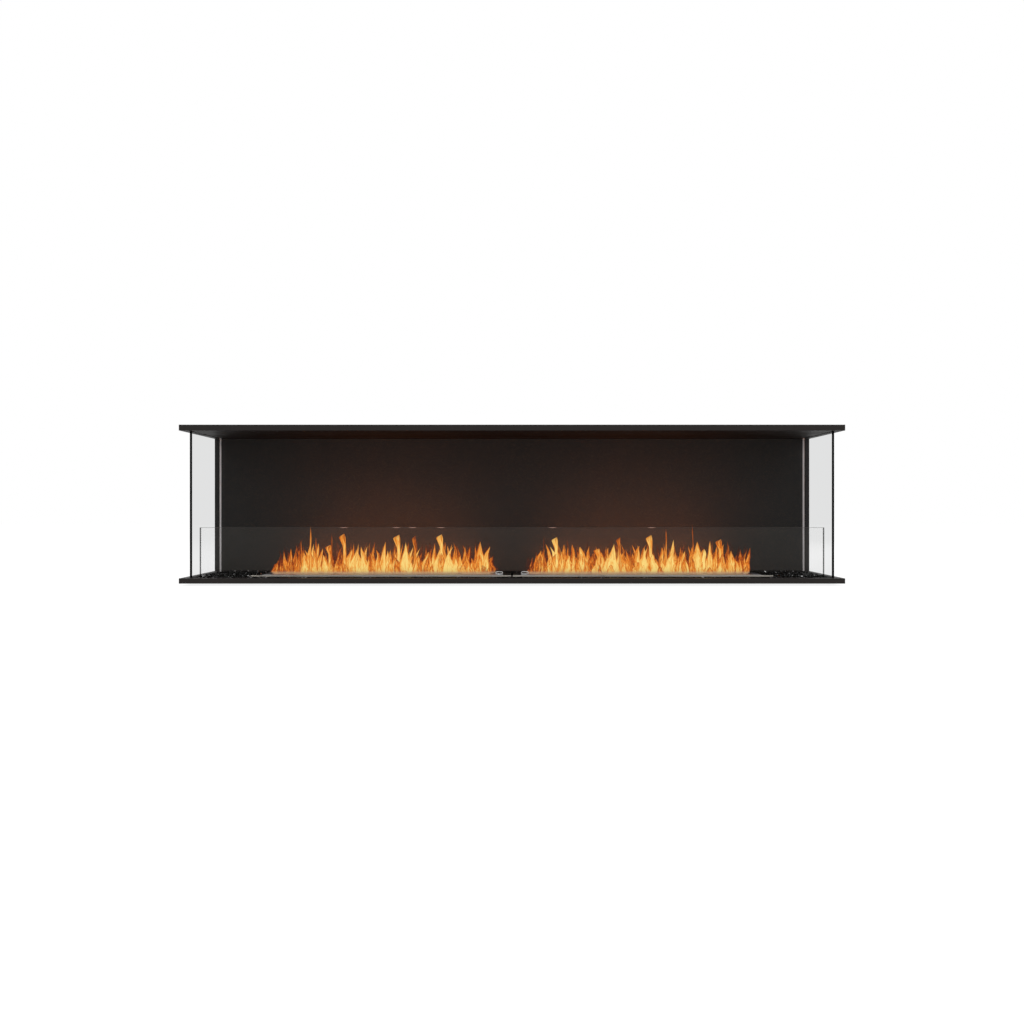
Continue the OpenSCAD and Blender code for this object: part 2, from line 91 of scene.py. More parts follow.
# Foot of the flames, in metres above their start: up to where they are dim, as pale as the steel, and clear
FOOT_DIM = 0.036
FOOT_PALE = 0.015
FOOT_CLEAR = 0.010
FOOT_TONE = (0.46, 0.31, 0.19)

# Glass: from which share of mirrored light on a pane mirrors at all, and from which it mirrors in full
MIRROR_FROM = 0.16
MIRROR_FULL = 0.40
# Painted light on a pane: a constant glow standing in for light that dust on it scatters, and the heights
# between which this painted glow fades in above the crushed glass
SIDE_VEIL = (0.003, 0.003, 0.003)
SCREEN_VEIL = (0.0120, 0.0113, 0.0102)
VEIL_HEIGHTS = (0.044, 0.056)
VEIL_LEAST = 0.12
# Glass screen, in metres: how far the dark of its end edges reaches in, how far down its top edge counts, which
# is painted lighter as a highlight, and where along X the front of that edge has a painted glint, a glow
# standing in for tall flames mirrored in it. A glint fades between the two distances of its reach to each side
SCREEN_END_BAND = 0.004
SCREEN_TOP_BAND = 0.002
SCREEN_GLINTS = (-0.622, -0.428, -0.368, -0.263, 0.150, 0.517)
SCREEN_GLINT_REACH = (0.019, 0.003)
SCREEN_GLINT_TONE = (1.0, 0.62, 0.50, 1)
SCREEN_GLINT_GLOW = 0.75

# Sheet metal and steel: width of the worn outer edges, and how far from the slot the heat tints the steel
WORN_WIDTH = 0.0012
HEAT_REACH = 0.040


def smooth(value, start, end):
    """0 before start, 1 after end, and an even curve between them."""
    share = min(1.0, max(0.0, (value - start) / (end - start)))
    return share * share * (3 - 2 * share)


def add_object(name, data):
    made = bpy.data.objects.new(name, data)
    bpy.context.scene.collection.objects.link(made)
    return made


def add_camera():
    lens = bpy.data.cameras.new("camera")
    lens.sensor_width = SENSOR_MM
    lens.lens = SENSOR_MM * FOCAL_PX / PICTURE_PX
    lens.shift_y = (HORIZON_PX - PICTURE_PX / 2) / PICTURE_PX
    lens.clip_start = 0.1
    lens.clip_end = 100
    camera = add_object("camera", lens)
    camera.location = EYE
    camera.rotation_euler = (math.radians(90), 0, 0)
    bpy.context.scene.camera = camera


class Graph:
    """A node tree, with short ways to add nodes and join them."""

    def __init__(self, tree):
        self.tree = tree
        self.tree.nodes.clear()

    def feed(self, socket, value):
        if isinstance(value, bpy.types.NodeSocket):
            self.tree.links.new(value, socket)
        else:
            socket.default_value = value

    def node(self, kind, inputs, **settings):
        made = self.tree.nodes.new("ShaderNode" + kind)
        for key, value in settings.items():
            setattr(made, key, value)
        for key, value in inputs.items():
            self.feed(made.inputs[key], value)
        return made

    def math(self, operation, first, second=0.0):
        return self.node("Math", {0: first, 1: second}, operation=operation).outputs[0]

    def spread(self, value, low, high, to_low=0.0, to_high=1.0):
        """Value from low to high becomes to_low to to_high, and stays inside them."""
        inputs = {"Value": value, "From Min": low, "From Max": high, "To Min": to_low, "To Max": to_high}
        return self.node("MapRange", inputs, interpolation_type="SMOOTHSTEP").outputs[0]

    def ramp(self, factor, stops):
        """Factor becomes a colour, by stops of (position, colour) in rising order."""
        made = self.node("ValToRGB", {"Fac": factor})
        elements = made.color_ramp.elements
        elements.remove(elements[1])
        elements[0].position = stops[0][0]
        elements[0].color = (*stops[0][1], 1)
        for position, colour in stops[1:]:
            elements.new(position).color = (*colour, 1)
        return made.outputs["Color"]

    def blend(self, factor, first, second):
        """First colour where factor is 0, and second where it is 1."""
        made = self.node("Mix", {}, data_type="RGBA")
        self.feed(made.inputs[0], factor)
        self.feed(made.inputs[6], first)
        self.feed(made.inputs[7], second)
        return made.outputs[2]

    def place(self, stretch=(1, 1, 1)):
        """Where a point is in the part's frame, in metres, with each axis stretched."""
        here = self.node("TexCoord", {}).outputs["Object"]
        return self.node("Mapping", {"Vector": here, "Scale": stretch}).outputs[0]

    def axes(self, vector):
        return self.node("SeparateXYZ", {"Vector": vector}).outputs

    def noise(self, vector, scale, detail=3.0, rough=0.55):
        """Cloudy values from 0 to 1, mostly near a half. Scale is about the number of clouds in a metre."""
        inputs = {"Vector": vector, "Scale": scale, "Detail": detail, "Roughness": rough}
        return self.node("TexNoise", inputs).outputs[0]

    def value_of(self, attribute):
        return self.node("Attribute", {}, attribute_name=attribute).outputs["Fac"]

    def bump(self, height, strength, distance):
        inputs = {"Height": height, "Strength": strength, "Distance": distance}
        return self.node("Bump", inputs).outputs[0]

    def edges(self, clouds):
        """1 on worn stretches of the outer edges, 0 elsewhere."""
        rounded = self.node("Bevel", {"Radius": WORN_WIDTH}, samples=4).outputs[0]
        flat = self.node("NewGeometry", {}).outputs["Normal"]
        turned = self.node("VectorMath", {0: rounded, 1: flat}, operation="DOT_PRODUCT").outputs["Value"]
        near_edge = self.spread(turned, 0.99, 0.80)
        return self.math("MULTIPLY", near_edge, self.spread(clouds, 0.42, 0.66))


class Finish(Graph):
    """The node tree of one new material."""

    def __init__(self, name):
        self.material = bpy.data.materials.new(name)
        self.material.use_nodes = True
        super().__init__(self.material.node_tree)

    def surface(self, inputs):
        shader = self.node("BsdfPrincipled", inputs).outputs[0]
        self.node("OutputMaterial", {"Surface": shader})
        return self.material


def seen_rays(graph):
    """1 for what the camera sees, also in a mirror or through glass, and 0 for what only lights."""
    path = graph.node("LightPath", {}).outputs
    direct = graph.math("MAXIMUM", path["Is Camera Ray"], path["Is Glossy Ray"])
    return graph.math("MAXIMUM", direct, path["Is Transmission Ray"])


def add_surround():
    world = bpy.data.worlds.new("surround")
    bpy.context.scene.world = world
    world.use_nodes = True
    graph = Graph(world.node_tree)
    strength = graph.spread(seen_rays(graph), 0, 1, SURROUND_LIGHT, 1)
    white = graph.node("Background", {"Color": (1, 1, 1, 1), "Strength": strength}).outputs[0]
    graph.node("OutputWorld", {"Surface": white})


def add_floor():
    mesh = bpy.data.meshes.new("floor")
    corners = [(x * FLOOR_HALF, y * FLOOR_HALF, 0) for x, y in ((-1, -1), (1, -1), (1, 1), (-1, 1))]
    mesh.from_pydata(corners, [], [(0, 1, 2, 3)])
    finish = Finish("floor_white")
    lighting = finish.node("BsdfDiffuse", {"Color": FLOOR_COLOUR}).outputs[0]
    shaded = finish.node("BsdfDiffuse", {"Color": FLOOR_SHADED}).outputs[0]
    glow = finish.node("Emission", {"Color": (1, 1, 1, 1), "Strength": FLOOR_GLOW}).outputs[0]
    both = finish.node("AddShader", {0: shaded, 1: glow}).outputs[0]
    mixed = finish.node("MixShader", {0: seen_rays(finish), 1: lighting, 2: both}).outputs[0]
    finish.node("OutputMaterial", {"Surface": mixed})
    mesh.materials.append(finish.material)
    add_object("floor", mesh)


def add_lamp(name, size, size_y, power, colour):
    data = bpy.data.lights.new(name, "AREA")
    data.shape = "RECTANGLE"
    data.size = size
    data.size_y = size_y
    data.energy = power
    data.color = colour
    return add_object(name, data)


def add_soft_lamps():
    for name, spot, size, level in SOFT_LAMPS:
        away = spot - LAMP_AIM
        power = level * math.pi * math.pi * away.length_squared
        lamp = add_lamp(name, size, size, power, (1, 1, 1))
        lamp.location = spot
        lamp.rotation_euler = away.to_track_quat("Z", "Y").to_euler()
        lamp.visible_glossy = False


def slot_middle(side):
    """Where the middle of a burner's flame slot is, on the floor."""
    low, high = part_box("burner_top_" + side)
    return Vector(((low.x + high.x) / 2, low.y + SLOT_BEHIND, 0))


def add_firelight(side):
    centre = slot_middle(side)
    for part, length, height, behind, turn, power, colour in FIRE_LAMPS:
        lamp = add_lamp(f"fire_{part}_{side}", length, FIRE_DEPTH, power, colour)
        lamp.location = (centre.x, centre.y + behind, height)
        lamp.rotation_euler = [math.radians(angle) for angle in turn]
        lamp.visible_camera = False
        lamp.visible_glossy = False
        lamp.visible_transmission = False


def black_coat(name, dark, light, rubbed, roughness, shine):
    """Powder coat: a faint orange peel, cloudy sheen and rubbed edges."""
    finish = Finish(name)
    place = finish.place()
    clouds = finish.noise(place, 9, 5)
    fine = finish.noise(place, 850, 2)
    worn = finish.edges(clouds)
    tone = finish.ramp(clouds, ((0.3, dark), (0.7, light)))
    worn_tone = finish.blend(worn, tone, (rubbed, rubbed, rubbed, 1))
    low, high = roughness
    sheen = finish.spread(clouds, 0.3, 0.7, low, high)
    return finish.surface({
        "Base Color": worn_tone,
        "Roughness": sheen,
        "Specular IOR Level": shine,
        "Normal": finish.bump(fine, 0.08, 0.0004),
    })


def speckled_coat(name, dark, light, fleck, roughness):
    """Heat-resistant coat with fine metallic flecks, which the firelight picks out."""
    finish = Finish(name)
    place = finish.place()
    clouds = finish.noise(place, 5, 5)
    grain = finish.noise(place, 620, 3, 0.7)
    flecks = finish.spread(finish.noise(place, 1150, 2, 0.6), 0.60, 0.68)
    tone = finish.ramp(clouds, ((0.3, dark), (0.7, light)))
    low, high = roughness
    return finish.surface({
        "Base Color": finish.blend(flecks, tone, (*fleck, 1)),
        "Roughness": finish.spread(clouds, 0.25, 0.75, low, high),
        "Specular IOR Level": 0.14,
        "Normal": finish.bump(grain, 0.22, 0.0005),
    })


def brushed_steel(name, light, dark, roughness, heated_steel):
    """Steel brushed along X. Heated steel is straw and blue where the flame has heated it near the slot."""
    finish = Finish(name)
    lines = finish.noise(finish.place((1.6, 260, 260)), 6, 5, 0.7)
    smears = finish.noise(finish.place((3, 14, 14)), 1.6, 4)
    tone = finish.ramp(lines, ((0.25, dark), (0.75, light)))
    if heated_steel:
        from_slot = finish.math("SUBTRACT", finish.axes(finish.place())[1], slot_middle("left").y)
        apart = finish.math("ABSOLUTE", from_slot)
        wavy = finish.math("ADD", apart, finish.spread(smears, 0.2, 0.8, -0.008, 0.008))
        heated = finish.spread(wavy, HEAT_REACH, HEAT_REACH * 0.45)
        straw = (0.45, (0.90, 0.83, 0.73))
        blue = (0.8, (0.50, 0.50, 0.60))
        tint = finish.ramp(heated, ((0.0, (1, 1, 1)), straw, blue))
        both = finish.node("Mix", {}, data_type="RGBA", blend_type="MULTIPLY")
        both.inputs[0].default_value = 1
        finish.feed(both.inputs[6], tone)
        finish.feed(both.inputs[7], tint)
        tone = both.outputs[2]
    low, high = roughness
    streaks = finish.spread(lines, 0.2, 0.8, low, high)
    smeared = finish.spread(smears, 0.3, 0.7, -0.04, 0.08)
    return finish.surface({
        "Base Color": tone,
        "Metallic": 1.0,
        "Roughness": finish.math("ADD", streaks, smeared),
        "Anisotropic": 0.6,
        "Normal": finish.bump(lines, 0.10, 0.0003),
    })


def plain_steel(name, dark, light, metallic, roughness):
    """Primed or zinc-plated steel that is hidden in use: patchy, with faint scratches."""
    finish = Finish(name)
    patches = finish.node("TexVoronoi", {"Vector": finish.place(), "Scale": 45}).outputs["Color"]
    clouds = finish.noise(finish.place(), 14, 5)
    scratches = finish.noise(finish.place((30, 400, 60)), 3, 4, 0.7)
    mottled = finish.math("MULTIPLY", patches, 0.35)
    mottled = finish.math("ADD", mottled, finish.math("MULTIPLY", clouds, 0.65))
    low, high = roughness
    return finish.surface({
        "Base Color": finish.ramp(mottled, ((0.3, dark), (0.7, light))),
        "Metallic": metallic,
        "Roughness": finish.spread(mottled, 0.3, 0.7, low, high),
        "Specular IOR Level": 0.25,
        "Normal": finish.bump(scratches, 0.06, 0.0003),
    })


def clear_glass(finish, tint, edge_tone, edge_axes, edge_from, ior, veil, painted_glint=0.0):
    """Clear pane with faint dust and a painted veil, a constant glow standing in for light that the dust
    scatters. It mirrors at flat angles.

    Its edges are where it faces along edge_axes by edge_from or more, of 1. They take edge_tone, which is a
    painted highlight where it is pale, and a painted glint, a glow standing in for flames mirrored in the edge."""
    dust = finish.noise(finish.place(), 35, 5, 0.65)
    facing = finish.axes(finish.node("NewGeometry", {}).outputs["True Normal"])
    on_edge = finish.math("ABSOLUTE", facing[edge_axes[0]])
    for axis in edge_axes[1:]:
        on_edge = finish.math("MAXIMUM", on_edge, finish.math("ABSOLUTE", facing[axis]))
    on_edge = finish.spread(on_edge, edge_from, edge_from + 0.08)
    through = finish.node("BsdfTransparent", {"Color": tint}).outputs[0]
    polish = finish.spread(dust, 0.45, 0.8, 0.0, 0.03)
    mirror = finish.node("BsdfGlossy", {"Color": (1, 1, 1, 1), "Roughness": polish}).outputs[0]
    outside = finish.math("SUBTRACT", 1.0, finish.node("NewGeometry", {}).outputs["Backfacing"])
    mirrored = finish.node("Fresnel", {"IOR": ior}).outputs[0]
    share = finish.math("MULTIPLY", mirrored, finish.spread(mirrored, MIRROR_FROM, MIRROR_FULL))
    share = finish.math("MULTIPLY", share, outside)
    clear = finish.node("MixShader", {0: share, 1: through, 2: mirror}).outputs[0]
    # Painted veil: a glow on the outside of the pane, weaker low down above the crushed glass
    height = finish.axes(finish.place())[2]
    dust_and_glow = finish.math("MULTIPLY", finish.spread(height, *VEIL_HEIGHTS, VEIL_LEAST, 1.0), outside)
    painted_veil = finish.node("Emission", {"Color": (*veil, 1), "Strength": dust_and_glow}).outputs[0]
    pane = finish.node("AddShader", {0: clear, 1: painted_veil}).outputs[0]
    # Edges: edge_tone, a painted highlight where it is pale, and the glint as emission, a painted reflection of
    # flames
    edge_surface = finish.node("BsdfPrincipled", {
        "Base Color": edge_tone,
        "Roughness": 0.35,
        "IOR": ior,
        "Emission Color": SCREEN_GLINT_TONE,
        "Emission Strength": painted_glint,
    }).outputs[0]
    both = finish.node("MixShader", {0: on_edge, 1: pane, 2: edge_surface}).outputs[0]
    finish.node("OutputMaterial", {"Surface": both})
    return finish.material


def side_pane():
    """Glass of the two sides. The pale tone of its edges is a painted highlight, as of polished edges catching
    light.
    """
    finish = Finish("side_glass")
    dust = finish.noise(finish.place(), 35, 5, 0.65)
    # Pale edge tone: a painted highlight along the edges, mottled by dust
    edge_tone = finish.ramp(dust, ((0.3, (0.50, 0.48, 0.48)), (0.7, (0.60, 0.58, 0.58))))
    return clear_glass(finish, (0.866, 0.868, 0.868, 1), edge_tone, (1, 2), 0.90, 1.25, SIDE_VEIL)


def screen_pane():
    """Glass of the low screen, with dark end edges. Its top edge is painted lighter as a highlight, and the
    front of it has painted glints by tall flames.
    """
    finish = Finish("screen_glass")
    along = finish.axes(finish.place())[0]
    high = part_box("glass_screen")[1]
    to_end = finish.math("SUBTRACT", high.x, finish.math("ABSOLUTE", along))
    at_end = finish.spread(to_end, SCREEN_END_BAND, SCREEN_END_BAND * 0.6)
    tint = finish.blend(at_end, (0.99, 0.99, 0.99, 1), (0.42, 0.42, 0.42, 1))
    # Painted glints: a glow standing in for tall flames mirrored in the front bevel of the top edge
    painted_glint = 0.0
    for place in SCREEN_GLINTS:
        apart = finish.math("ABSOLUTE", finish.math("SUBTRACT", along, place))
        shine = finish.spread(apart, *SCREEN_GLINT_REACH, 0.0, SCREEN_GLINT_GLOW)
        painted_glint = finish.math("MAXIMUM", painted_glint, shine)
    height = finish.axes(finish.place())[2]
    on_top = finish.spread(height, high.z - SCREEN_TOP_BAND, high.z - 0.75 * SCREEN_TOP_BAND)
    # The top edge is painted lighter than the other edges, a painted highlight
    edge_tone = finish.blend(on_top, (0.01, 0.01, 0.01, 1), (0.055, 0.050, 0.048, 1))
    to_front = finish.axes(finish.node("NewGeometry", {}).outputs["True Normal"])[1]
    on_bevel = finish.math("MULTIPLY", on_top, finish.spread(to_front, -0.1, -0.3))
    painted_glint = finish.math("MULTIPLY", painted_glint, on_bevel)
    return clear_glass(finish, tint, edge_tone, (0, 2), 0.30, 1.18, SCREEN_VEIL, painted_glint)


def rubber(name):
    finish = Finish(name)
    place = finish.place()
    dust_and_glow = finish.noise(place, 60, 4)
    return finish.surface({
        "Base Color": finish.ramp(dust_and_glow, ((0.35, (0.008, 0.008, 0.008)), (0.75, (0.016, 0.016, 0.016)))),
        "Roughness": finish.spread(dust_and_glow, 0.3, 0.7, 0.6, 0.8),
        "Specular IOR Level": 0.2,
        "Normal": finish.bump(finish.noise(place, 900, 2), 0.1, 0.0003),
    })


def ceramic_fibre(name):
    """Soft white mat of crossed fibres, scorched on top."""
    finish = Finish(name)
    along = finish.noise(finish.place((40, 260, 260)), 5, 4, 0.7)
    across = finish.noise(finish.place((260, 40, 260)), 5, 4, 0.7)
    fibres = finish.math("MAXIMUM", along, across)
    scorch = finish.noise(finish.place(), 22, 4)
    tone = finish.ramp(fibres, ((0.4, (0.42, 0.39, 0.34)), (0.75, (0.78, 0.76, 0.70))))
    return finish.surface({
        "Base Color": finish.blend(finish.spread(scorch, 0.5, 0.75), tone, (0.16, 0.12, 0.09, 1)),
        "Roughness": 0.95,
        "Sheen Weight": 0.3,
        "Normal": finish.bump(fibres, 0.6, 0.0012),
    })


def crushed_glass(name):
    """Black glass, each stone with its own polish. A few have a mirror-bright face."""
    finish = Finish(name)
    tone = finish.value_of("tone")
    chips = finish.noise(finish.place(), 420, 3, 0.6)
    bright = finish.spread(tone, 0.975, 0.985)
    darkest = (0.0, (0.002, 0.002, 0.002))
    dark = (0.95, (0.006, 0.006, 0.006))
    silver = (1.0, (0.6, 0.6, 0.6))
    return finish.surface({
        "Base Color": finish.ramp(tone, (darkest, dark, silver)),
        "Metallic": bright,
        "Roughness": finish.spread(chips, 0.3, 0.75, 0.05, 0.22),
        "Specular IOR Level": 0.09,
        "Normal": finish.bump(chips, 0.10, 0.0006),
    })


def flame(name):
    """Fire: pale yellow inside and low down, orange outside, red-brown at the tips, thin at the edges."""
    finish = Finish(name)
    across = finish.value_of("across")
    along = finish.value_of("along")
    seed = finish.value_of("seed")
    sides = finish.math("ABSOLUTE", across)

    shifted = finish.math("MULTIPLY", across, 1.2)
    shifted = finish.math("ADD", shifted, finish.math("MULTIPLY", seed, 37.0))
    risen = finish.math("MULTIPLY", along, 1.1)
    streak_place = finish.node("CombineXYZ", {"X": shifted, "Y": risen, "Z": seed}).outputs[0]
    streaks = finish.math("SUBTRACT", finish.noise(streak_place, 3.4, 4, 0.7), 0.5)
    fold = finish.math("MULTIPLY", finish.math("SUBTRACT", seed, 0.5), 1.3)
    from_fold = finish.math("ABSOLUTE", finish.math("SUBTRACT", across, fold))

    glow = finish.math("ADD", finish.value_of("warmth"), finish.math("MULTIPLY", streaks, 2.0))
    glow = finish.math("ADD", glow, finish.spread(from_fold, 0.22, 0.0, 0.0, 0.26))
    glow = finish.math("SUBTRACT", glow, finish.math("MULTIPLY", finish.math("POWER", sides, 2.4), 0.36))
    glow = finish.math("SUBTRACT", glow, finish.math("MULTIPLY", finish.math("POWER", along, 2.0), 0.30))
    colour = finish.ramp(glow, (
        (0.00, (0.070, 0.010, 0.003)),
        (0.18, (0.300, 0.035, 0.003)),
        (0.36, (0.740, 0.165, 0.009)),
        (0.54, (0.870, 0.310, 0.034)),
        (0.76, (0.950, 0.540, 0.125)),
        (0.97, (1.000, 0.720, 0.220)),
    ))

    rise = finish.value_of("rise")
    dim = finish.spread(rise, FOOT_DIM, 0.0, 0.03, 0.26)
    colour = finish.blend(dim, colour, (0, 0, 0, 1))
    colour = finish.blend(finish.spread(rise, FOOT_PALE, 0.0, 0.0, 0.92), colour, (*FOOT_TONE, 1))

    soft_from = finish.math("ADD", 0.15, finish.math("MULTIPLY", finish.value_of("firm"), 0.70))
    edge = finish.spread(sides, 1.0, soft_from)
    foot = finish.spread(rise, 0.0, FOOT_CLEAR, 0.20, 1.0)
    ends = finish.math("MULTIPLY", foot, finish.spread(along, 1.02, 0.80, 0.35, 1.0))
    solid = finish.spread(glow, -0.1, 0.45, 0.30, 0.96)
    solid = finish.math("MULTIPLY", solid, finish.value_of("cover"))
    alpha = finish.math("MULTIPLY", finish.math("MULTIPLY", edge, ends), solid)
    finish.material.cycles.emission_sampling = "NONE"
    return finish.surface({
        "Base Color": (0, 0, 0, 1),
        "Roughness": 1.0,
        "Specular IOR Level": 0.0,
        "Emission Color": colour,
        "Emission Strength": 1.0,
        "Alpha": alpha,
    })


def finishes():
    """The finish of each CAD node, by the start of its name."""
    outer = black_coat(
        "outer_coat", (0.0122, 0.0097, 0.0087), (0.0151, 0.0121, 0.0108), 0.05, (0.49, 0.54), 0.20)
    trim = black_coat(
        "trim_coat", (0.0012, 0.0012, 0.0012), (0.0025, 0.0025, 0.0025), 0.004, (0.60, 0.70), 0.01)
    ceiling = black_coat(
        "ceiling_coat", (0.007, 0.0065, 0.006), (0.011, 0.0100, 0.0095), 0.03, (0.48, 0.60), 0.12)
    wall = speckled_coat(
        "wall_coat", (0.0102, 0.0108, 0.0114), (0.0148, 0.0155, 0.0165), (0.10, 0.075, 0.045), (0.48, 0.62))
    tray = speckled_coat(
        "tray_coat", (0.009, 0.0085, 0.008), (0.015, 0.014, 0.013), (0.06, 0.048, 0.034), (0.38, 0.52))
    primer = plain_steel("black_primer", (0.016, 0.016, 0.017), (0.034, 0.034, 0.036), 0.0, (0.5, 0.75))
    zinc = plain_steel("zinc_plate", (0.34, 0.34, 0.36), (0.55, 0.55, 0.56), 1.0, (0.3, 0.5))
    polished = plain_steel("polished_wire", (0.82, 0.82, 0.82), (0.94, 0.94, 0.94), 0.5, (0.15, 0.25))
    steel = brushed_steel("brushed_steel", (0.64, 0.64, 0.65), (0.38, 0.385, 0.39), (0.24, 0.40), True)
    strip = brushed_steel("bright_strip", (0.74, 0.69, 0.62), (0.50, 0.46, 0.41), (0.24, 0.40), False)
    black_rubber = rubber("black_rubber")
    fibre = ceramic_fibre("ceramic_fibre")
    return {
        "base_pan": outer, "top_cover": outer, "edge_trim": trim,
        "ceiling_plate": ceiling, "back_panel": wall,
        "rear_casing": primer, "well_pan": primer, "top_ribs": primer, "rear_posts": primer,
        "floor_channel": outer, "ceiling_channel": outer, "screen_channel": outer,
        "support_pads": black_rubber, "floor_gasket": black_rubber, "ceiling_gasket": black_rubber,
        "screen_blocks": black_rubber, "insulation_boards": fibre, "absorbent_pad": fibre,
        "rear_screws": zinc, "side_glass": side_pane(), "glass_screen": screen_pane(),
        "burner_tray": tray, "edge_strip": strip, "burner_top": steel, "reservoir": zinc,
        "regulator_rails": zinc, "regulator_plate": steel, "pull_loop": polished,
    }


# Small rounding on the outer edges of sheet metal and glass: from which angle in degrees, and how wide in
# metres. The rear casing has none, because there it drew faint lines between the holes in the flat back
SOFT_ANGLE = 40
SOFT_EDGES = {
    "base_pan": 0.0004, "top_cover": 0.0004, "back_panel": 0.0004, "burner_tray": 0.0004,
    "burner_top": 0.0004, "edge_strip": 0.0003, "edge_trim": 0.0005, "side_glass": 0.0014,
    "glass_screen": 0.0009, "ceiling_plate": 0.0004,
}


def stem(node_name):
    """A node's name without its side."""
    for side in SIDES:
        node_name = node_name.removesuffix("_" + side)
    return node_name


def dress_nodes():
    chosen = finishes()
    for name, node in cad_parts.items():
        if name.startswith("stones"):
            continue
        for slot in node.material_slots:
            slot.material = chosen[stem(name)]
        if stem(name) in SOFT_EDGES:
            join = node.modifiers.new("join", "WELD")
            join.merge_threshold = 0.00001
            rounding = node.modifiers.new("rounding", "BEVEL")
            rounding.width = SOFT_EDGES[stem(name)]
            rounding.segments = 2
            rounding.limit_method = "ANGLE"
            rounding.angle_limit = math.radians(SOFT_ANGLE)


class Stock:
    """Points, faces and point values of one mesh in the making."""

    def __init__(self, values):
        self.points = []
        self.faces = []
        self.values = {key: [] for key in values}

    def add(self, points, faces, values):
        start = len(self.points)
        self.points.extend(points)
        self.faces.extend([start + corner for corner in face] for face in faces)
        for key, column in self.values.items():
            column.extend(values[key])

    def piece(self, name, material):
        mesh = bpy.data.meshes.new(name)
        mesh.from_pydata(self.points, [], self.faces)
        for key, column in self.values.items():
            mesh.attributes.new(key, "FLOAT", "POINT").data.foreach_set("value", column)
        mesh.materials.append(material)
        mesh.validate()
        return add_object(name, mesh)


# Crushed glass: number of different stones, corners and radius of a stone, and mean distance between stones
STONE_SEED = 411
STONE_KINDS = 28
STONE_CORNERS = (8, 12)
STONE_RADIUS = (4.2 * MM, 8.6 * MM)
STONE_STEP = 10.5 * MM
# Bed of stones: thickness of its plain base, heights of the layers on it, and how far a pile may top its solid
BED_BASE = 5 * MM
BED_LAYERS = (0.45, 1.0)
BED_LIFT = {"front": 0.5 * MM, "rear": 2 * MM, "left": 5 * MM, "right": 5 * MM}


def stone_shapes(rng):
    """Irregular convex lumps of about unit radius, as (points, faces)."""
    shapes = []
    for _ in range(STONE_KINDS):
        lump = bmesh.new()
        for _ in range(rng.randint(*STONE_CORNERS)):
            direction = Vector([rng.gauss(0, 1) for _ in range(3)]).normalized()
            lump.verts.new(direction * rng.uniform(0.74, 1.0))
        hull = bmesh.ops.convex_hull(lump, input=lump.verts)
        bmesh.ops.delete(lump, geom=hull["geom_interior"], context="VERTS")
        bmesh.ops.recalc_face_normals(lump, faces=lump.faces)
        lump.verts.index_update()
        points = [v.co.copy() for v in lump.verts]
        faces = [[v.index for v in face.verts] for face in lump.faces]
        shapes.append((points, faces))
        lump.free()
    return shapes


def add_bed(name, material, shapes, rng):
    """A bed of stones in the space of its CAD solid: a low base and two layers of loose stones."""
    low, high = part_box("stones_" + name)
    stock = Stock(("tone",))
    base_top = low.z + BED_BASE
    corners = [(x, y, z) for z in (low.z, base_top) for x, y in
               ((low.x, low.y), (high.x, low.y), (high.x, high.y), (low.x, high.y))]
    sides = [(0, 1, 5, 4), (1, 2, 6, 5), (2, 3, 7, 6), (3, 0, 4, 7)]
    stock.add(corners, [(3, 2, 1, 0), (4, 5, 6, 7), *sides], {"tone": [0.1] * len(corners)})
    top = high.z + BED_LIFT[name]
    for level in BED_LAYERS:
        columns = max(1, round((high.x - low.x) / STONE_STEP))
        rows = max(1, round((high.y - low.y) / STONE_STEP))
        for column in range(columns):
            for row in range(rows):
                points, faces = rng.choice(shapes)
                radius = rng.triangular(*STONE_RADIUS)
                size = Vector([radius * rng.uniform(0.75, 1.0) for _ in range(3)])
                turn = Euler([rng.uniform(0, math.tau) for _ in range(3)]).to_matrix()
                x = low.x + (column + rng.uniform(0.1, 0.9)) * (high.x - low.x) / columns
                y = low.y + (row + rng.uniform(0.1, 0.9)) * (high.y - low.y) / rows
                x = min(max(x, low.x + radius), high.x - radius)
                y = min(max(y, low.y + radius), high.y - radius)
                pile = base_top + (top - base_top) * level * rng.uniform(0.82, 1.0)
                z = max(low.z + radius, pile - radius)
                middle = Vector((x, y, z))
                placed = [turn @ (point * size) + middle for point in points]
                stock.add(placed, faces, {"tone": [rng.random()] * len(points)})
    bed = stock.piece("crushed_glass_" + name, material)
    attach(bed, "firebox")
    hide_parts("stones_" + name)


def add_beds():
    rng = random.Random(STONE_SEED)
    shapes = stone_shapes(rng)
    material = crushed_glass("black_glass")
    for name in BED_LIFT:
        add_bed(name, material, shapes, rng)


# Flames: tall tongues as (millimetres from the burner's middle, height in millimetres, kind)
TALL_TONGUES = {
    "left": (
        (-362, 98, "leaf"), (-318, 132, "spike"), (-284, 182, "spike"), (-261, 140, "spike"),
        (-212, 110, "hook"), (-204, 159, "spike"), (-152, 154, "hook"), (-80, 105, "leaf"),
        (-6, 123, "leaf"), (51, 149, "hook"), (78, 123, "broad"), (117, 146, "rag"),
        (185, 119, "leaf"), (216, 151, "hook"), (309, 105, "leaf"), (363, 123, "broad"),
        (398, 123, "spike"),
    ),
    "right": (
        (-394, 79, "leaf"), (-365, 145, "spike"), (-317, 140, "hook"), (-286, 114, "spike"),
        (-236, 110, "spike"), (-197, 105, "leaf"), (-155, 97, "hook"), (-104, 114, "broad"),
        (-74, 140, "rag"), (-34, 105, "spike"), (-3, 110, "leaf"), (45, 148, "hook"),
        (104, 176, "spike"), (125, 132, "leaf"), (210, 189, "spike"), (222, 123, "broad"),
        (269, 127, "leaf"), (311, 132, "hook"),
    ),
}
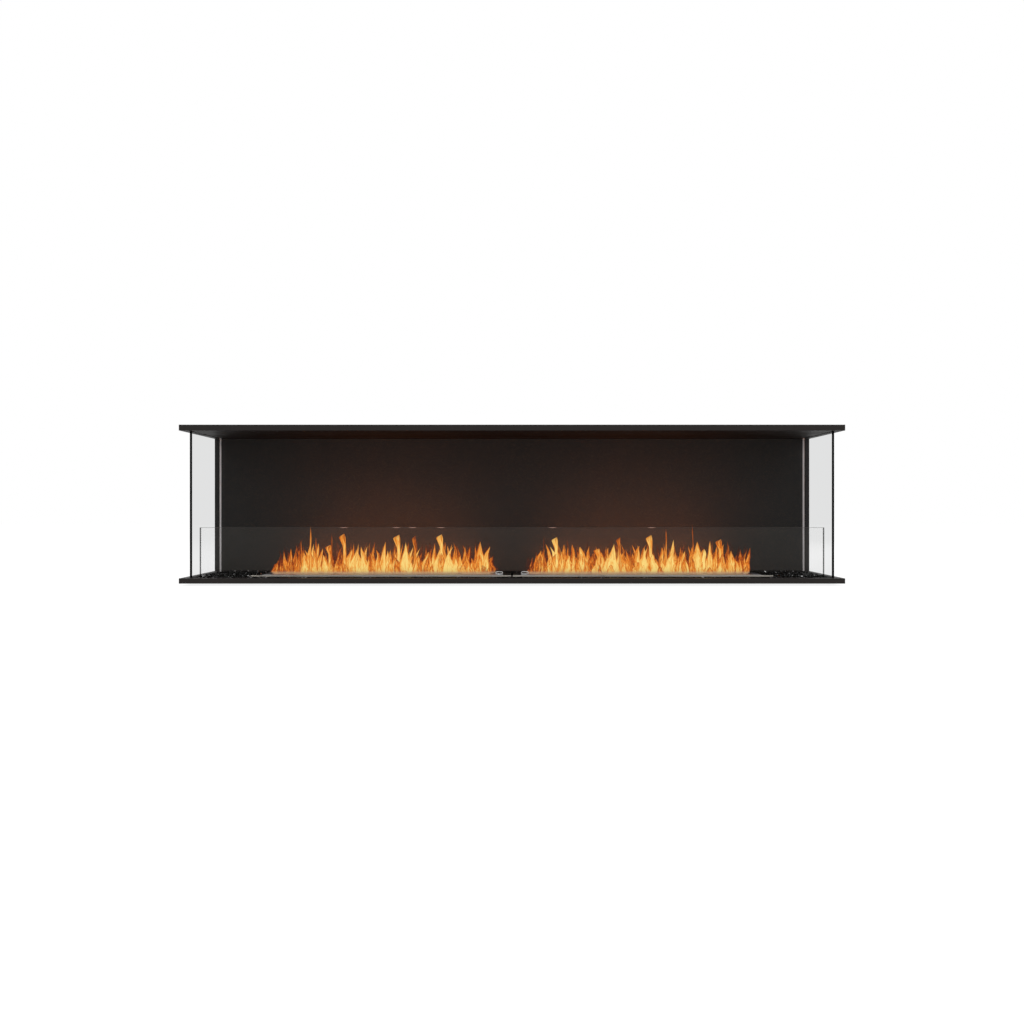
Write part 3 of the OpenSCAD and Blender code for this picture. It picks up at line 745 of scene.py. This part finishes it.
# Places in a burner where the fire is palest, in millimetres from its middle, and how far they reach
PALE_PLACES = {"left": (-288, -93, 18, 91, 236), "right": (-305, -106, 20, 124, 250)}
PALE_REACH = 34
# Fire: seed of its random draws, sides and rings of a tongue, half the length of the row and height of its foot
FLAME_SEED = 57
FLAME_SIDES = 10
FLAME_RINGS = 20
FLAME_HALF = 423
FLAME_START = 31 * MM
# The lower fire, in rows from the back to the front: kind, heights, widths and step in millimetres, depths in
# metres, and warmth added
FIRE_ROWS = (
    ("ember", (80, 126), (36, 54), 17.0, (0.016, 0.022), -0.42),
    ("lick", (62, 118), (20, 32), 12.0, (0.006, 0.014), -0.16),
    ("lick", (50, 106), (26, 48), 18.0, (-0.006, 0.004), 0.08),
    ("lick", (26, 82), (18, 36), 29.0, (-0.018, -0.010), 0.12),
)
# The red haze behind all of it, as a row of the same kind
HAZE_ROW = ("haze", (92, 146), (44, 72), 30.0, (0.020, 0.026), -0.50)
# Widths of the tall tongues by kind, in millimetres
TALL_WIDTHS = {"leaf": (27, 35), "broad": (56, 68), "spike": (11, 13), "rag": (25, 29), "hook": (29, 32)}
# By kind of tongue: how much it sways, how firm and how solid it is, and warmth added
TONGUES = {
    "haze": (1.0, 0.0, 0.25, 0.0),
    "ember": (1.0, 0.0, 0.7, 0.0),
    "lick": (1.0, 0.65, 1.0, 0.0),
    "leaf": (0.4, 0.8, 1.0, 0.0),
    "broad": (0.3, 0.8, 1.0, 0.06),
    "spike": (0.04, 0.3, 0.75, -0.34),
    "rag": (0.10, 0.4, 0.85, -0.30),
    "hook": (0.04, 1.0, 1.0, 0.02),
}
LOOSE_KINDS = ("haze", "ember", "lick")


def outline(kind, v, foot, taper):
    """How far a tongue reaches to the left and right at height v, both from 0 to about 1."""
    swell = foot + (1 - foot) * smooth(v, 0, 0.30)
    if kind == "spike":
        thin = (1 - 0.40 * smooth(v, 0.15, 0.60)) * (1 - max(0.0, (v - 0.72) / 0.28) ** 2)
        return thin, thin
    if kind in ("hook", "rag"):
        stalk = 0.85 - 0.43 * smooth(v, 0.05, 0.45)
        flare = 0.95 * max(0.0, min((v - 0.68) / 0.24, 1.0))
        slant = max(0.0, (v - 0.92) / 0.08)
        return stalk + flare - 1.45 * slant, stalk - 0.30 * slant
    above = max(0.0, (v - 0.20) / 0.80)
    body = swell * (1 - above) ** taper
    return body, body


def hook_glow(v, across):
    """Warmth added to a hook, whose head stays pale at its two sides and is dark along its middle."""
    middle = 1 - min(1.0, abs(across) / 0.8)
    return 0.26 * v * v - 0.30 * middle * smooth(v, 0.62, 0.84)


def add_tongue(stock, rng, foot_at, height, width, kind, heat):
    """One tongue of fire: a closed, flattened body that leans and sways as it rises."""
    limp, firm, cover, extra = TONGUES[kind]
    loose = kind in LOOSE_KINDS
    lean = rng.uniform(-0.20, 0.20) * height * limp
    sway = rng.uniform(-0.07, 0.07) * height * limp
    phase = rng.uniform(0, math.tau)
    ripple = rng.uniform(0.05, 0.18) if loose else 0.06
    turns = rng.uniform(0.7, 1.3)
    skew = rng.uniform(-0.5, 0.5) if loose else 0.0
    foot = rng.uniform(0.65, 1.1)
    taper = rng.uniform(0.50, 1.20) if loose else rng.uniform(0.75, 1.25)
    seed = rng.random()
    half = width / 2
    points = []
    values = {key: [] for key in stock.values}
    for ring in range(FLAME_RINGS + 1):
        share = ring / FLAME_RINGS
        v = share * (1.4 - 0.4 * share)
        left, right = outline(kind, v, foot, taper)
        left = half * left * (1 + ripple * math.sin(9 * v + phase)) * (1 + skew * v)
        right = half * right * (1 + ripple * math.sin(11 * v + 2 * phase)) * (1 - skew * v)
        middle = foot_at.x + (right - left) / 2 + lean * v * v + sway * math.sin(turns * math.tau * v) * v
        reach = (left + right) / 2
        back = foot_at.y + 0.12 * height * v * v * math.sin(phase)
        count = 1 if ring == FLAME_RINGS else FLAME_SIDES
        for side in range(count):
            angle = math.tau * side / FLAME_SIDES
            across = math.cos(angle) if count > 1 else 0.0
            x = middle + reach * across
            y = back + 0.55 * reach * math.sin(angle)
            points.append((x, y, FLAME_START + height * v))
            values["across"].append(across)
            values["along"].append(v)
            values["warmth"].append(heat + extra + (hook_glow(v, across) if kind == "hook" else 0.0))
            values["seed"].append(seed)
            values["firm"].append(firm)
            values["cover"].append(cover)
            values["rise"].append(height * v)
    faces = [list(reversed(range(FLAME_SIDES)))]
    for ring in range(FLAME_RINGS - 1):
        for side in range(FLAME_SIDES):
            after = (side + 1) % FLAME_SIDES
            below = ring * FLAME_SIDES
            above = below + FLAME_SIDES
            faces.append((below + side, below + after, above + after, above + side))
    last = (FLAME_RINGS - 1) * FLAME_SIDES
    tip = FLAME_RINGS * FLAME_SIDES
    faces.extend((last + side, last + (side + 1) % FLAME_SIDES, tip) for side in range(FLAME_SIDES))
    stock.add(points, faces, values)


def warmth(side, offset):
    """How pale the fire is at an offset from the burner's middle, in millimetres."""
    nearest = min(abs(offset - place) for place in PALE_PLACES[side])
    ends = 1 - 0.34 * smooth(-offset, 320, 410) - 0.12 * smooth(offset, 340, 410)
    return (0.59 + 0.33 * math.exp(-(nearest / PALE_REACH) ** 2)) * ends


def add_row(stock, rng, centre, side, row):
    """A row of tongues along the slot of one burner."""
    kind, heights, widths, step, depths, extra = row
    offset = -FLAME_HALF + 10
    while offset < FLAME_HALF - 10:
        grown = (0.58 + 0.42 * smooth(offset + FLAME_HALF, 6, 44)) * (1 - 0.2 * smooth(offset, 400, 420))
        foot_at = Vector((centre.x + offset * MM, centre.y + rng.uniform(*depths), 0))
        heat = warmth(side, offset) + extra + rng.uniform(-0.40, 0.18)
        height = rng.uniform(*heights) * grown * MM
        add_tongue(stock, rng, foot_at, height, rng.uniform(*widths) * MM, kind, heat)
        offset += step * rng.uniform(0.6, 1.4)


def add_flames(side, material):
    """All the fire of one burner, in its slot, as one piece."""
    rng = random.Random(FLAME_SEED + SIDES[side])
    centre = slot_middle(side)
    stock = Stock(("across", "along", "warmth", "seed", "firm", "cover", "rise"))
    for row in FIRE_ROWS:
        add_row(stock, rng, centre, side, row)
    for offset, height, kind in TALL_TONGUES[side]:
        width = rng.uniform(*TALL_WIDTHS[kind]) * MM
        foot_at = Vector((centre.x + offset * MM, centre.y + rng.uniform(-0.010, 0.010), 0))
        add_tongue(stock, rng, foot_at, height * MM, width, kind, warmth(side, offset))
    add_row(stock, rng, centre, side, HAZE_ROW)
    fire = stock.piece("flames_" + side, material)
    for face in fire.data.polygons:
        face.use_smooth = True
    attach(fire, "burner_" + side)
    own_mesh(fire)


bpy.context.scene.view_settings.view_transform = "Standard"
bpy.context.scene.cycles.transparent_max_bounces = 64
add_camera()
add_surround()
add_floor()
add_soft_lamps()
dress_nodes()
add_beds()
fire_material = flame("fire")
for burner in SIDES:
    add_flames(burner, fire_material)
    add_firelight(burner)
